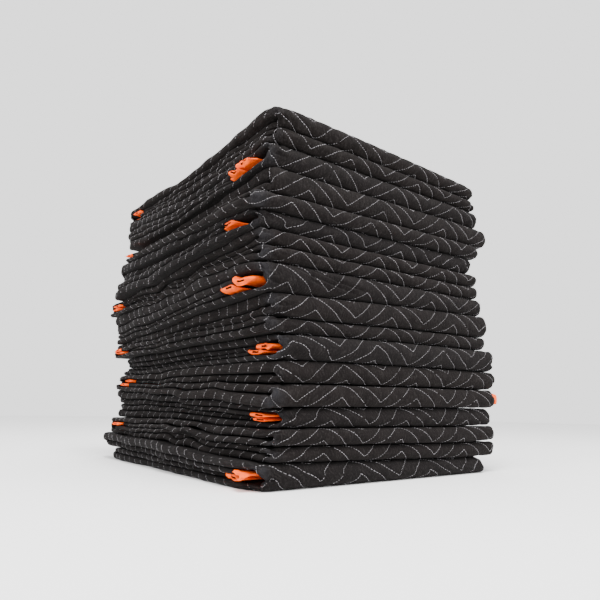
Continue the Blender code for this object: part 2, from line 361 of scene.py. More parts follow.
def layer_bounds(row):
    """Height shares of the strip's four runs: outer lower, inner lower, inner upper, outer upper."""
    lower, upper = row.split, 1 - row.split
    half = LAYER_GAP / 2
    marks = (0.0, lower * OUTER_SHARE, lower, 1 - upper * OUTER_SHARE, 1.0)
    lows = [mark + (half if i else 0.0) for i, mark in enumerate(marks[:-1])]
    highs = [mark - (half if i < 3 else 0.0) for i, mark in enumerate(marks[1:])]
    return list(zip(lows, highs))


# The strip's stations: where its face and its back lie, and how far out in a fold each is, from 0 to 1
def straight(face, back, start, end):
    count = max(3, round(abs(end - start) / SIDE_SPACING))
    inward = np.linspace(start, end, count + 1)
    return np.stack((inward, inward * 0 + face, inward, inward * 0 + back, inward * 0), axis=-1)


def bend(middle, direction, face, back, reach, hollow, steps):
    angle = np.linspace(0, math.pi, steps + 1)[1:-1]
    out, turn = np.sin(angle) ** FOLD_FULLNESS, np.cos(angle)
    face_share = (face[0] + face[1]) / 2 + (face[0] - face[1]) / 2 * turn
    back_share = (back[0] + back[1]) / 2 + (back[0] - back[1]) / 2 * turn
    return np.stack((middle + direction * reach * out, face_share,
                     middle + direction * hollow * out, back_share, out), axis=-1)


def strip_stations(row):
    """The folded strip from its lower bound end to its upper one."""
    length = row.back - row.front
    outer_low, inner_low, inner_high, outer_high = layer_bounds(row)
    low_gate = length - GATE_REACH - max(row.tuck, 0.0)
    high_gate = length - GATE_REACH + min(row.tuck, 0.0)
    lower_start = row.lower_end + BINDING_LENGTH + END_CLEARANCE
    upper_start = row.upper_end + BINDING_LENGTH + END_CLEARANCE
    return np.concatenate((
        straight(inner_low[1], inner_low[0], lower_start, low_gate),
        bend(low_gate, 1, (inner_low[1], outer_low[0]), (inner_low[0], outer_low[1]),
             GATE_REACH, FOLD_HOLLOW, GATE_STEPS),
        straight(outer_low[0], outer_low[1], low_gate, BOOK_REACH),
        bend(BOOK_REACH, -1, (outer_low[0], outer_high[1]), (outer_low[1], outer_high[0]),
             BOOK_REACH, BOOK_REACH - BOOK_WALL, BOOK_STEPS),
        straight(outer_high[1], outer_high[0], BOOK_REACH, high_gate),
        bend(high_gate, 1, (outer_high[1], inner_high[0]), (outer_high[0], inner_high[1]),
             GATE_REACH, FOLD_HOLLOW, GATE_STEPS),
        straight(inner_high[0], inner_high[1], high_gate, upper_start),
    ))


def face_shares():
    """Places of the columns across the face, closer together near both sides."""
    t = np.linspace(0, 1, FACE_COLUMNS + 2)
    spacing = 1 - 0.55 * np.exp(-(t / 0.22) ** 2) - 0.35 * np.exp(-((1 - t) / 0.12) ** 2)
    places = np.concatenate(([0.0], np.cumsum((spacing[1:] + spacing[:-1]) / 2)))
    return (places / places[-1])[1:-1]


# The strip's section: from the middle of its back round the left fold, over its face and round the right
def section(width):
    """For each point: share across, reach at the sides, side (1 face, -1 back) and length round."""
    angles = np.radians(np.linspace(-90, 90, SIDE_STEPS + 1))
    columns = face_shares()
    halves = np.linspace(0, 1, BACK_COLUMNS + 2)[1:-1]
    half = BACK_COLUMNS // 2
    full = np.maximum(np.cos(angles), 0.0) ** SIDE_FULLNESS
    left, right = -full, full[::-1]
    across = np.concatenate((halves[:half][::-1], left * 0, columns, right * 0 + 1, halves[half:][::-1]))
    reach = np.concatenate((halves[:half] * 0, left, columns * 0, right, halves[half:] * 0))
    side = np.concatenate((halves[:half] * 0 - 1, np.sin(angles), columns * 0 + 1, np.sin(angles[::-1]),
                           halves[half:] * 0 - 1))
    flat = width - 2 * SIDE_REACH
    turn = SIDE_REACH * math.pi
    along_side = (angles + math.pi / 2) / math.pi * turn
    length = np.concatenate((SIDE_REACH - turn - halves[:half][::-1] * flat,
                             SIDE_REACH - turn + along_side,
                             SIDE_REACH + columns * flat,
                             SIDE_REACH + flat + along_side,
                             SIDE_REACH + flat + turn + (1 - halves[half:][::-1]) * flat))
    return across, reach, side, length


def zigzag(u, period):
    """-1 at the low points of the zigzag and 1 at its high points."""
    return 1 - 2 * np.abs(2 * np.mod(u / period, 1.0) - 1)


Grid = namedtuple("Grid", "points u v fold full columns")
GRIDS = {}


def first_row(number, points, stations, u, travelled, sign, rise):
    """Where along the strip a stitched row starts, so that a low point lies at the place that is set."""
    row = BLANKETS[number - 1]
    column = int(np.argmin(np.abs(u - row.point_x)))
    line = points[:, column]
    near_front = (line[:, 1] + ORIGIN[1] < row.front + FRONT_DEPTH) & (stations[:, 4] > 0)
    away = np.where(near_front, np.abs(line[:, 2] - row.point_z), 9.0)
    at = int(np.argmin(away))
    return travelled[at] + sign * rise


def crease_depth(number, points):
    """How far the creases of a blanket press its cloth in."""
    depth = np.zeros(points.shape[:-1])
    for crease in CREASES:
        if crease.number != number:
            continue
        start = np.array((crease.x1, crease.y1, crease.z1)) / 1000 - ORIGIN
        way = np.array((crease.x2, crease.y2, crease.z2)) / 1000 - ORIGIN - start
        along = (points - start) @ way / (way @ way)
        nearest = start + np.clip(along, 0, 1)[..., None] * way
        off = points - nearest
        off[..., 1] *= 0.35
        away = np.linalg.norm(off, axis=-1) / (crease.width / 1000)
        ends = 0.35 + 0.65 * smooth(np.minimum(along, 1 - along) / 0.3)
        depth += crease.depth / 1000 * np.exp(-away ** 2) * ends
    return depth


def nose_depth(number, points):
    """How far the puckers at a blanket's corners press its cloth in."""
    row = BLANKETS[number - 1]
    middle_z = (level(number - 1, row.left, row.front) + level(number, row.left, row.front)) / 2
    forms = soft_noise(points * np.array((1.0, 1.0, 1.5)), PUCKER_SIZE, number + 20)
    lines = np.exp(-(forms / PUCKER_LINE) ** 2)
    depth = 0.0
    for x, y, amount in (
        (row.left + 0.008, row.front + 0.006, 0.0034),
        (row.right - 0.006, row.front + 0.006, 0.0014),
        (row.left + 0.006, row.back - 0.006, 0.0018),
        (row.right - 0.006, row.back - 0.006, 0.0014),
    ):
        off = points - (np.array((x, y, middle_z)) - ORIGIN)
        away = np.linalg.norm(off * np.array((1.0, 1.0, 0.6)), axis=-1) / PUCKER_REACH
        depth = depth + amount * np.exp(-away ** 2) * lines
    return depth


def make_grid(number, sizes):
    """All points of one blanket's folded strip, with its cloth drawn in along the stitched rows."""
    row = BLANKETS[number - 1]
    stations = strip_stations(row)
    middle = place(number, STACK_WIDTH / 2, stations[:, 0], stations[:, 1])
    travelled = np.concatenate(([0.0], np.cumsum(np.linalg.norm(np.diff(middle, axis=0), axis=1))))
    waves = [sum(size * np.sin(2 * math.pi * (travelled + start) / wavelength + 2.4 * number)
                 for size, wavelength in EDGE_WAVES) for start in (0.0, 1.0)]
    shift = side_shift(row, (stations[:, 0] + stations[:, 2]) / 2, (stations[:, 1] + stations[:, 3]) / 2)
    inset = row.inset * np.cos(math.pi * smooth(np.abs(stations[:, 1] - row.split) / 0.34))
    out = stations[:, 4]
    dent = row.dent * out ** 2
    from_fold = np.abs(travelled[:, None] - travelled[out > 0]).min(axis=1)
    rounding = (1 - out ** 1.25) * np.exp(-from_fold / FOLD_END_LENGTH)
    inner_left = row.left + shift + waves[0] + inset + dent + FOLD_END_LEFT * rounding + SIDE_REACH
    inner_right = row.right + shift + waves[1] - inset - dent / 2 - FOLD_END_RIGHT * rounding - SIDE_REACH
    inner_left, inner_right = inner_left[:, None], inner_right[:, None]
    across, reach, side, length = section(row.right - row.left)
    core_x = inner_left + across * (inner_right - inner_left)
    x = core_x + reach * SIDE_REACH

    def at(x, side):
        t = (1 + side) / 2
        inward = stations[:, 2:3] + (stations[:, 0:1] - stations[:, 2:3]) * t
        share = stations[:, 3:4] + (stations[:, 1:2] - stations[:, 3:4]) * t
        return place(number, x, inward, share, shift[:, None])

    points, cores = at(x, side), at(core_x, side * 0)
    u = row.left + length
    sign = 1 if row.book == "front" else -1
    start = first_row(number, points, stations, u, travelled, sign, sizes.zigzag_rise)
    u_stitch = u - row.point_x
    v_stitch = sign * (travelled - start)
    swing = sizes.zigzag_rise * zigzag(u_stitch, sizes.zigzag_period)
    to_row = (v_stitch[:, None] - swing) / sizes.row_spacing
    beside = np.abs(to_row - np.round(to_row)) * sizes.row_spacing
    drawn = np.exp(-(beside / GROOVE_WIDTH) ** 2) * (1 - SIDE_CALM * np.abs(reach) ** 0.3)
    inwards = cores - points
    inwards /= np.maximum(np.linalg.norm(inwards, axis=-1, keepdims=True), 1e-6)
    slack = 0.5 + 0.5 * soft_noise(points, SLACK_SIZE, number)
    depth = sizes.quilt_depth * (drawn * (0.75 + 0.5 * slack) + 0.45 * slack)
    depth = depth + crease_depth(number, points) + nose_depth(number, points)
    points = points + inwards * depth[..., None]
    points[..., 2] = np.maximum(points[..., 2], 0.0)
    full = np.zeros(len(stations), bool)
    full[::SPARSE_EVERY] = True
    full[[0, -1]] = True
    for i in np.flatnonzero(out):
        same_fold = np.abs(stations[:, 1] - stations[i, 1]) < 0.4
        full |= (np.abs(travelled - travelled[i]) < FULL_MARGIN) & same_fold
    if number == len(BLANKETS):
        full |= stations[:, 1] == 1.0
    half = BACK_COLUMNS // 2
    columns = (half, half + SIDE_STEPS, half + SIDE_STEPS + FACE_COLUMNS + 1,
               half + 2 * SIDE_STEPS + FACE_COLUMNS + 1)
    return Grid(points, u_stitch, v_stitch, out > 0, full, columns)


def strip_faces(grid):
    """Corners of all faces as station and section numbers; hidden stretches have long faces."""
    count, ring = grid.points.shape[:2]
    left_start, left_end, right_start, right_end = grid.columns
    faces = []
    for start, end in ((left_start, left_end), (right_start, right_end)):
        for i in range(count - 1):
            faces += [((i, k), (i, k + 1), (i + 1, k + 1), (i + 1, k)) for k in range(start, end)]
    kept = np.flatnonzero(grid.full)
    for i, j in zip(kept, kept[1:]):
        between = list(range(i + 1, j))
        for start, end in ((left_end, right_start), (right_end, ring + left_start)):
            for k in range(start, end):
                right_side = [(m, k + 1) for m in between] if k + 1 == end else []
                left_side = [(m, k) for m in reversed(between)] if k == start else []
                faces.append(((i, k), (i, k + 1), *right_side, (j, k + 1), (j, k), *left_side))
    faces.append(tuple((0, k) for k in reversed(range(ring))))
    faces.append(tuple((count - 1, k) for k in range(ring)))
    return faces


def mesh_object(name, points, faces, *materials):
    mesh = bpy.data.meshes.new(name)
    mesh.from_pydata(np.asarray(points).tolist(), [], faces)
    for material in materials:
        mesh.materials.append(material)
    mesh.shade_smooth()
    mesh.update()
    piece = bpy.data.objects.new(name, mesh)
    bpy.context.scene.collection.objects.link(piece)
    return piece


def lay_lengths(piece, u, v):
    """Keeps the cloth's lengths across and along, in metres, as the UV map of the face corners."""
    layer = piece.data.uv_layers.new(name="cloth")
    layer.data.foreach_set("uv", np.stack((u, v), axis=-1).astype(np.float32).ravel())


def grid_object(name, grid, flip, material):
    """One closed body of a grid, with its cloth lengths, and the numbers of the points that it uses."""
    ring = grid.points.shape[1]
    faces = strip_faces(grid)
    if flip:
        faces = [face[::-1] for face in faces]
    corners = np.array([corner for face in faces for corner in face])
    number = corners[:, 0] * ring + corners[:, 1] % ring
    used, index = np.unique(number, return_inverse=True)
    sizes = [len(face) for face in faces]
    ends = np.cumsum(sizes)
    faces = [index[end - size:end].tolist() for size, end in zip(sizes, ends)]
    piece = mesh_object(name, grid.points.reshape(-1, 3)[used], faces, material)
    around = np.append(grid.u, grid.u[:grid.columns[0] + 1] + (grid.u[-1] - grid.u[0]))
    lay_lengths(piece, around[corners[:, 1]], grid.v[corners[:, 0]])
    return piece, used


def sample(grid, u, v):
    """Points of a grid at cloth lengths u and v."""
    v_line = grid.v if grid.v[-1] > grid.v[0] else grid.v[::-1]
    points = grid.points if grid.v[-1] > grid.v[0] else grid.points[::-1]
    i = np.clip(np.searchsorted(v_line, v) - 1, 0, len(v_line) - 2)
    k = np.clip(np.searchsorted(grid.u, u) - 1, 0, len(grid.u) - 2)
    s = np.clip((v - v_line[i]) / (v_line[i + 1] - v_line[i]), 0, 1)[:, None]
    t = np.clip((u - grid.u[k]) / (grid.u[k + 1] - grid.u[k]), 0, 1)[:, None]
    low = points[i, k] * (1 - t) + points[i, k + 1] * t
    high = points[i + 1, k] * (1 - t) + points[i + 1, k + 1] * t
    return low * (1 - s) + high * s


def stitches(grid, sizes, number):
    """Start, end and outward direction of each stitch of a blanket that shows."""
    slope = 4 * sizes.zigzag_rise / sizes.zigzag_period
    half_period = sizes.zigzag_period / 2
    step = half_period / round(half_period * math.hypot(1.0, slope) / sizes.stitch_pitch)
    first, last = math.ceil(grid.u[0] / step) + 1, math.floor(grid.u[-1] / step) - 1
    u = (np.arange(first, last) + 0.5) * step
    low, high = min(grid.v[0], grid.v[-1]), max(grid.v[0], grid.v[-1])
    first = math.ceil((low + sizes.zigzag_rise) / sizes.row_spacing)
    last = math.floor((high - sizes.zigzag_rise) / sizes.row_spacing)
    rows = np.arange(first, last + 1) * sizes.row_spacing
    u, rows = (a.ravel() for a in np.meshgrid(u, rows))
    random = np.random.default_rng(number)
    half = step * sizes.stitch_length / sizes.stitch_pitch / 2
    wander = random.normal(0, STITCH_WANDER, (2, len(u)))
    ends = [(u + offset, rows + sizes.zigzag_rise * zigzag(u + offset, sizes.zigzag_period) + drift)
            for offset, drift in zip((-half, half), wander)]
    middle_v = (ends[0][1] + ends[1][1]) / 2
    forward = grid.v[-1] > grid.v[0]
    v_line, fold, full = (line if forward else line[::-1] for line in (grid.v, grid.fold, grid.full))
    station = np.clip(np.searchsorted(v_line, middle_v), 1, len(v_line) - 2)
    near_fold = fold[station - 1] | fold[station] | fold[station + 1]
    left_start, left_end, right_start, right_end = grid.columns
    on_face = (u > grid.u[left_end]) & (u < grid.u[right_start])
    whole = near_fold | (number <= WHOLE_STITCH_BLANKETS)
    rim = np.where(whole, FOLD_RIM, CREASE_RIM)
    outer_rim = np.where(whole, FOLD_RIM, -FOLD_RIM)
    on_side = (((u > grid.u[left_start] + rim) & (u < grid.u[left_end] + outer_rim))
               | ((u > grid.u[right_start] - outer_rim) & (u < grid.u[right_end] - rim)))
    hidden = ~near_fold & (random.random(len(u)) < LOST_ON_SIDES)
    shows = (on_side & ~hidden) | (on_face & near_fold)
    if number == len(BLANKETS):
        top_run = np.convolve(full, np.ones(9), "same") > 8.5
        shows |= on_face & top_run[station]
    shows &= random.random(len(u)) > LOST_STITCHES
    a = sample(grid, ends[0][0][shows], ends[0][1][shows])
    b = sample(grid, ends[1][0][shows], ends[1][1][shows])
    mid_u, mid_v = u[shows], middle_v[shows]
    du = sample(grid, mid_u + 0.001, mid_v) - sample(grid, mid_u - 0.001, mid_v)
    dv = sample(grid, mid_u, mid_v + 0.001) - sample(grid, mid_u, mid_v - 0.001)
    out = np.cross(du, dv)
    out /= np.maximum(np.linalg.norm(out, axis=1, keepdims=True), 1e-9)
    return a, b, out


STITCH_FACES = ((0, 2, 4), (0, 4, 3), (0, 3, 2), (2, 5, 7, 4), (4, 7, 6, 3), (3, 6, 5, 2),
                (1, 7, 5), (1, 6, 7), (1, 5, 6))


def stitch_mesh(name, a, b, out, width, height, material):
    """Many stitches as one mesh: each a low thread between two points, pointed where it dives in."""
    along = b - a
    across = np.cross(along, out)
    across /= np.maximum(np.linalg.norm(across, axis=1, keepdims=True), 1e-9)
    near, far = a + along * 0.14, a + along * 0.86
    sunk = out * height * -0.35
    ends = [a + sunk, b + sunk]
    offsets = (across * width / 2 + sunk * 0.3, across * width / -2 + sunk * 0.3, out * height)
    rings = [base + offset for base in (near, far) for offset in offsets]
    points = np.stack(ends + rings, axis=1).reshape(-1, 3)
    faces = [tuple(8 * n + corner for corner in face) for n in range(len(a)) for face in STITCH_FACES]
    return mesh_object(name, points, faces, material)


def closed_grid(name, points, u, v, materials, dark=None):
    """One closed body from rings of points; faces where dark is true take the second material, a near-black
    colour painted as shade.
    """
    count, ring = points.shape[:2]
    faces = []
    for i in range(count - 1):
        for k in range(ring):
            here, beside = i * ring + k, i * ring + (k + 1) % ring
            faces.append((here, beside, beside + ring, here + ring))
    faces += [tuple(reversed(range(ring))), tuple(range((count - 1) * ring, count * ring))]
    flat = points.reshape(-1, 3)
    a, b, c, d = flat[np.array(faces[:-2])].transpose(1, 0, 2)
    volume = (a * (np.cross(b, c) + np.cross(c, d))).sum()
    if volume < 0:
        faces = [face[::-1] for face in faces]
    piece = mesh_object(name, flat, faces, *materials)
    if dark is not None:
        marks = np.concatenate((dark[:-1].ravel(), [False, False]))
        piece.data.polygons.foreach_set("material_index", marks.astype(np.int32))
    corners = np.array([corner for face in faces for corner in face])
    u, v = (np.broadcast_to(lengths, (count, ring)).ravel()[corners] for lengths in (u, v))
    lay_lengths(piece, u, v)
    return piece


def binding_piece(number, which, materials):
    """One bound end: tape round the cloth's end, with its folded, gaping left end standing out."""
    row = BLANKETS[number - 1]
    low = which == "lower"
    start, proud = (row.lower_end, row.lower_proud) if low else (row.upper_end, row.upper_proud)
    inner = layer_bounds(row)[1 if low else 2]
    middle, half = (inner[0] + inner[1]) / 2, (inner[1] - inner[0]) / 2
    seed = 3 * number + (1 if low else 2)
    along = np.linspace(0, 1, BINDING_STEPS + 1)
    inward = start + along * BINDING_LENGTH
    shift = side_shift(row, inward, np.full_like(inward, middle))
    cloth_left = (row.left + shift)[:, None]
    seam = np.exp(-((along - 0.80) / 0.045) ** 2)
    fullness = BINDING_FULLNESS * (0.42 + 0.58 * smooth(along / 0.20)) * (1 - 0.22 * seam)
    shown = BINDING_SHOWN.get((number, which), MOST_SHOWN)
    sunk = max(proud + 0.003, 0.0) * smooth((along - shown) / 0.08)
    left = (row.left + shift - proud + sunk + BINDING_REACH)[:, None]
    right = (row.right + shift - 2 * BINDING_REACH)[:, None]

    # The left end gapes between two lips, and each lip has a lengthwise fold
    angles = np.radians(np.linspace(-90, 90, MOUTH_STEPS + 1))
    line = np.stack((inward * 0, inward, inward * 0 + 0.01 * seed), axis=-1)
    edge = soft_noise(line, 0.009, seed)[:, None]
    window = (smooth((along - 0.10) / 0.12) * smooth((0.66 - along) / 0.12))[:, None]
    y = row.front + start if row.book == "front" else row.back - start
    half_height = (level(number, row.left, y) - level(number - 1, row.left, y)) * half
    opening = math.degrees(math.asin(min(GAPE_WIDTH / half_height, 0.6)))
    gape = smooth(1.5 * (1 - np.abs(np.degrees(angles) - 12 * edge) / opening)) * window
    folds = sum(np.exp(-((np.degrees(angles) - 9 * edge - at) / 9) ** 2) for at in TAPE_FOLDS_AT)
    out = np.cos(angles) * (BINDING_REACH + EDGE_WANDER * edge) - GAPE_DEPTH * gape - TAPE_FOLD_DEPTH * folds

    # The whole section: the left end, the upper side, the right end and the lower side
    right_angles = np.radians(np.linspace(90, -90, 7))
    columns = np.array(BINDING_COLUMNS)
    flat = np.ones((len(along), len(columns)))
    x = np.concatenate((left - out, left + columns, right + BINDING_REACH * np.cos(right_angles),
                        left + columns[::-1]), axis=1)
    side = np.concatenate((np.sin(angles) * np.ones_like(edge), flat,
                           np.sin(right_angles) * np.ones_like(edge), -flat), axis=1)

    # Free of the cloth, the end flares, crumples and leans away from the other bound end
    places = np.stack((x * 0.5, inward[:, None] * np.ones_like(x), side * 0.006), axis=-1)
    crumple = soft_noise(places, 0.0075, seed + 1)
    near_end = np.exp(-((x - left) / 0.016) ** 2)
    free = smooth((cloth_left + 0.001 - x) / 0.005)
    flare = 0.55 * free * (1 - 0.5 * seam[:, None]) * (along > 0.02)[:, None]
    other = row.upper_end + BINDING_LENGTH if low else row.lower_end
    alone = smooth((inward - other) / 0.010) if low else -smooth((other - inward) / 0.010)
    lean = 0.85 * free * alone[:, None]
    thick = min(BINDING_THICKNESS / half_height, 1.0)
    pressed = (1 - near_end * 0.22 * (1 + crumple) + flare) * (1 - near_end * (1 - thick))
    share = middle + half * (side * fullness[:, None] * pressed + lean)
    points = place(number, x, inward[:, None], share, shift[:, None])
    # Painted shade: faces deep in the gape take the near-black mouth material in place of the tape's colour
    dark = np.zeros(x.shape, bool)
    dark[:, :len(angles)] = gape > 0.55
    return closed_grid(f"binding_{number:02d}_{which}", points, x, inward[:, None], materials, dark)


def tab_piece(materials):
    """The small folded tape end on the right of the fourth blanket."""
    row = BLANKETS[TAB_BLANKET - 1]
    inward = row.back - row.front - TAB_FROM_FRONT
    shift = side_shift(row, inward, TAB_SHARE)
    root = place(TAB_BLANKET, row.right + shift - TAB_INSET, inward, TAB_SHARE, shift)
    angles = np.radians(np.arange(0, 360, 15))
    squareness = np.maximum(np.abs(np.cos(angles)), np.abs(np.sin(angles))) ** 0.75
    depth, size = np.array(TAB_RINGS).T
    x = TAB_SIZE[0] * depth[:, None] * np.ones(len(angles))
    y = TAB_SIZE[1] / 2 * size[:, None] * np.cos(angles) / squareness
    z = TAB_SIZE[2] / 2 * size[:, None] * np.sin(angles) / squareness
    z = z * np.where(depth[:, None] < 0.9, 1.0, 0.8) + 0.0012 * np.sin(y / 0.004)
    y = y - 0.30 * x
    wrinkle = soft_noise(np.stack((x, y, z), axis=-1), 0.006, 5)
    points = np.stack((x, y * (1 + 0.06 * wrinkle), z * (1 + 0.10 * wrinkle)), axis=-1) + root
    # Painted shade: the last rings, round the open end, take the near-black mouth material
    dark = np.zeros(x.shape, bool)
    dark[-TAB_OPEN_RINGS:] = True
    return closed_grid("tape_end_04", points, y, x, materials, dark)


class Shade:
    """A value in a material; arithmetic on it adds Math nodes."""

    def __init__(self, finish, socket):
        self.finish = finish
        self.socket = socket

    def math(self, operation, *others):
        values = dict(enumerate((self, *others)))
        return self.finish.node("ShaderNodeMath", {"operation": operation}, values)

    def reversed_math(self, operation, other):
        return self.finish.node("ShaderNodeMath", {"operation": operation}, {0: other, 1: self})

    def __add__(self, other):
        return self.math("ADD", other)

    __radd__ = __add__

    def __mul__(self, other):
        return self.math("MULTIPLY", other)

    __rmul__ = __mul__

    def __sub__(self, other):
        return self.math("SUBTRACT", other)

    def __rsub__(self, other):
        return self.reversed_math("SUBTRACT", other)

    def __truediv__(self, other):
        return self.math("DIVIDE", other)

    def __rtruediv__(self, other):
        return self.reversed_math("DIVIDE", other)

    def __abs__(self):
        return self.math("ABSOLUTE")


class Finish:
    """A material built from one Principled shader."""

    def __init__(self, name, **constants):
        self.material = bpy.data.materials.new(name)
        self.material.use_nodes = True
        self.tree = self.material.node_tree
        self.shader = self.tree.nodes["Principled BSDF"]
        for socket, value in constants.items():
            self.shader.inputs[socket.replace("_", " ")].default_value = value

    def node(self, kind, settings=None, inputs=None, output=0):
        made = self.tree.nodes.new(kind)
        for setting, value in (settings or {}).items():
            setattr(made, setting, value)
        for socket, value in (inputs or {}).items():
            if isinstance(value, Shade):
                self.tree.links.new(value.socket, made.inputs[socket])
            else:
                made.inputs[socket].default_value = value
        return Shade(self, made.outputs[output])

    def mix(self, factor, low, high):
        """A colour between two colours."""
        return self.node("ShaderNodeMix", {"data_type": "RGBA"}, {0: factor, 6: low, 7: high}, 2)

    def noise(self, vector, scale, detail=2.0, roughness=0.5):
        return self.node("ShaderNodeTexNoise", None,
                         {"Vector": vector, "Scale": scale, "Detail": detail, "Roughness": roughness})

    def between(self, value, low, high):
        """0 below low, 1 above high and smooth between them."""
        return self.node("ShaderNodeMapRange", {"interpolation_type": "SMOOTHSTEP"},
                         {"Value": value, "From Min": low, "From Max": high})

    def vector(self, x, y):
        return self.node("ShaderNodeCombineXYZ", None, {0: x, 1: y})

    def lengths(self):
        """The cloth's own lengths across and along, in metres, and both as one vector."""
        both = self.node("ShaderNodeUVMap", {"uv_map": "cloth"})
        across = self.node("ShaderNodeSeparateXYZ", None, {0: both})
        return across, Shade(self, across.socket.node.outputs[1]), both

    def point(self):
        """The point in the piece's own frame."""
        return self.node("ShaderNodeTexCoord", output=3)

    def bump(self, height):
        """Feeds a height in metres to the shader's normal."""
        values = {"Strength": 1.0, "Distance": 1.0, "Height": height}
        self.set("Normal", self.node("ShaderNodeBump", None, values))

    def set(self, socket, value):
        self.tree.links.new(value.socket, self.shader.inputs[socket])


def toned(colour, amount):
    return [part * amount for part in colour[:3]] + [1.0]


def cloth_finish(sizes, colours):
    finish = Finish("quilted_cloth", Roughness=0.93, Specular_IOR_Level=0.05, Sheen_Weight=0.012,
                    Sheen_Roughness=0.5)
    u, v, cloth = finish.lengths()
    wave = 1 - 2 * abs(2 * (u / sizes.zigzag_period).math("FRACT") - 1)
    to_row = (v - sizes.zigzag_rise * wave) / sizes.row_spacing
    closeness = abs(to_row.math("FRACT") - 0.5) * 2
    seam = finish.between(closeness, 0.86, 1.0)
    near_seam = finish.between(closeness, 0.40, 1.0)
    where = finish.point()
    mottle = finish.noise(where, 38.0, 4.0, 0.6)
    grain = finish.noise(where, 420.0, 3.0, 0.65)
    fibre = finish.noise(cloth, 1500.0, 3.0, 0.7)
    gathers = finish.noise(finish.vector(u * 230, to_row * 1.6), 1.0, 2.0)
    nap = finish.noise(finish.vector(u * 330, v * 70), 1.0, 3.0, 0.6)
    wear_and_sheen = finish.node("ShaderNodeAttribute", {"attribute_name": "wear_and_sheen"}, output=2)
    tint = finish.node("ShaderNodeAttribute", {"attribute_name": "tint"}, output=2)
    dark_cloth, light_cloth = toned(colours.cloth, 0.65), toned(colours.cloth, 1.25)
    base = finish.mix(finish.between(mottle, 0.25, 0.75), dark_cloth, light_cloth)
    base = finish.mix(tint * 0.8, base, colours.cloth_cool)
    # Rubbed cloth with a painted sheen: a lighter, bluer colour at the fold corners, partly real rubbing and
    # partly a painted highlight
    worn_and_sheen = finish.between(wear_and_sheen * 0.6 + mottle * 0.6 + grain * 0.35, 0.72, 1.25)
    base = finish.mix(worn_and_sheen, base, colours.worn_and_sheen)
    base = finish.mix(finish.between(nap * 0.5 + grain * 0.5, 0.46, 0.70) * 0.75, base, colours.fleck)
    # Painted shade: the cloth's colour darkens along the stitched rows, where the grooves lie
    base = finish.mix(seam * 0.15, base, toned(colours.cloth, 0.4))
    finish.set("Base Color", base)
    weave = (u * 5700).math("SINE") * (v * 5700).math("SINE")
    finish.bump(near_seam * (gathers - 0.5) * 0.0009 + grain * 0.0007 + nap * 0.0006 + fibre * 0.00020
                + weave * 0.00004 + mottle * 0.0010)
    return finish.material


def thread_finish(colours):
    finish = Finish("quilting_thread", Roughness=0.75, Specular_IOR_Level=0.3)
    where = finish.point()
    clean = finish.between(finish.noise(where, 160.0, 2.0), 0.3, 0.7)
    finish.set("Base Color", finish.mix(clean, colours.thread_dull, colours.thread))
    finish.bump(finish.noise(where, 2400.0, 1.0) * 0.0003)
    return finish.material


def tape_finish(colours):
    finish = Finish("binding_tape", Roughness=0.62, Specular_IOR_Level=0.12)
    u, v = finish.lengths()[:2]
    mottle = finish.noise(finish.point(), 110.0, 3.0)
    ribs = (v * 5200).math("SINE") * 0.5 + 0.5
    picks = (u * 6900).math("SINE") * 0.5 + 0.5
    base = finish.mix(finish.between(mottle, 0.32, 0.62), colours.binding_dark, colours.binding)
    base = finish.mix(ribs * 0.15, base, colours.binding_dark)
    finish.set("Base Color", base)
    finish.bump(ribs * 0.00012 + picks * 0.00006 + mottle * 0.0012)
    return finish.material


def plain_finish(name, colour, roughness):
    return Finish(name, Base_Color=colour, Roughness=roughness, Specular_IOR_Level=0.2).material


def vertex_values(piece, name, values):
    layer = piece.data.attributes.new(name, "FLOAT", "POINT")
    layer.data.foreach_set("value", np.asarray(values, np.float32))


def wear_and_sheen_at(number, points):
    """How much the cloth is rubbed and painted with sheen: most at the front left noses of the folds, a
    little along their fronts.
    """
    row = BLANKETS[number - 1]
    x, y = points[:, 0] + ORIGIN[0], points[:, 1] + ORIGIN[1]
    wear_and_sheen = 0.0
    for side, end, amount in ((row.left, row.front, 1.0), (row.right, row.front, 0.4),
                              (row.left, row.back, 0.5), (row.right, row.back, 0.4)):
        wear_and_sheen = wear_and_sheen + amount * np.exp(-((x - side) ** 2 + (y - end) ** 2) / WEAR_AND_SHEEN_REACH ** 2)
    return wear_and_sheen


def seat(piece, nodes):
    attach(piece, "root")
    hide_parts(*nodes)


class QuiltSizes(bpy.types.PropertyGroup):
    """Sizes of the quilting and its stitches."""

    row_spacing: bpy.props.FloatProperty(
        name="Row spacing", description="Distance between stitched rows", default=0.025, unit="LENGTH")
    zigzag_period: bpy.props.FloatProperty(
        name="Zigzag period", description="Distance from one point of a row to the next", default=0.150,
        unit="LENGTH")
    zigzag_rise: bpy.props.FloatProperty(
        name="Zigzag rise", description="How far a row swings to each side", default=0.0285, unit="LENGTH")
    quilt_depth: bpy.props.FloatProperty(
        name="Quilting depth", description="How far the stitches draw the cloth in", default=0.0009,
        unit="LENGTH")
    stitch_pitch: bpy.props.FloatProperty(
        name="Stitch pitch", description="Distance from one stitch to the next", default=0.0040,
        unit="LENGTH")
    stitch_length: bpy.props.FloatProperty(
        name="Stitch length", description="Length of one stitch that shows", default=0.0029, unit="LENGTH")
    thread_width: bpy.props.FloatProperty(
        name="Thread width", description="Width of the quilting thread", default=0.00068, unit="LENGTH")


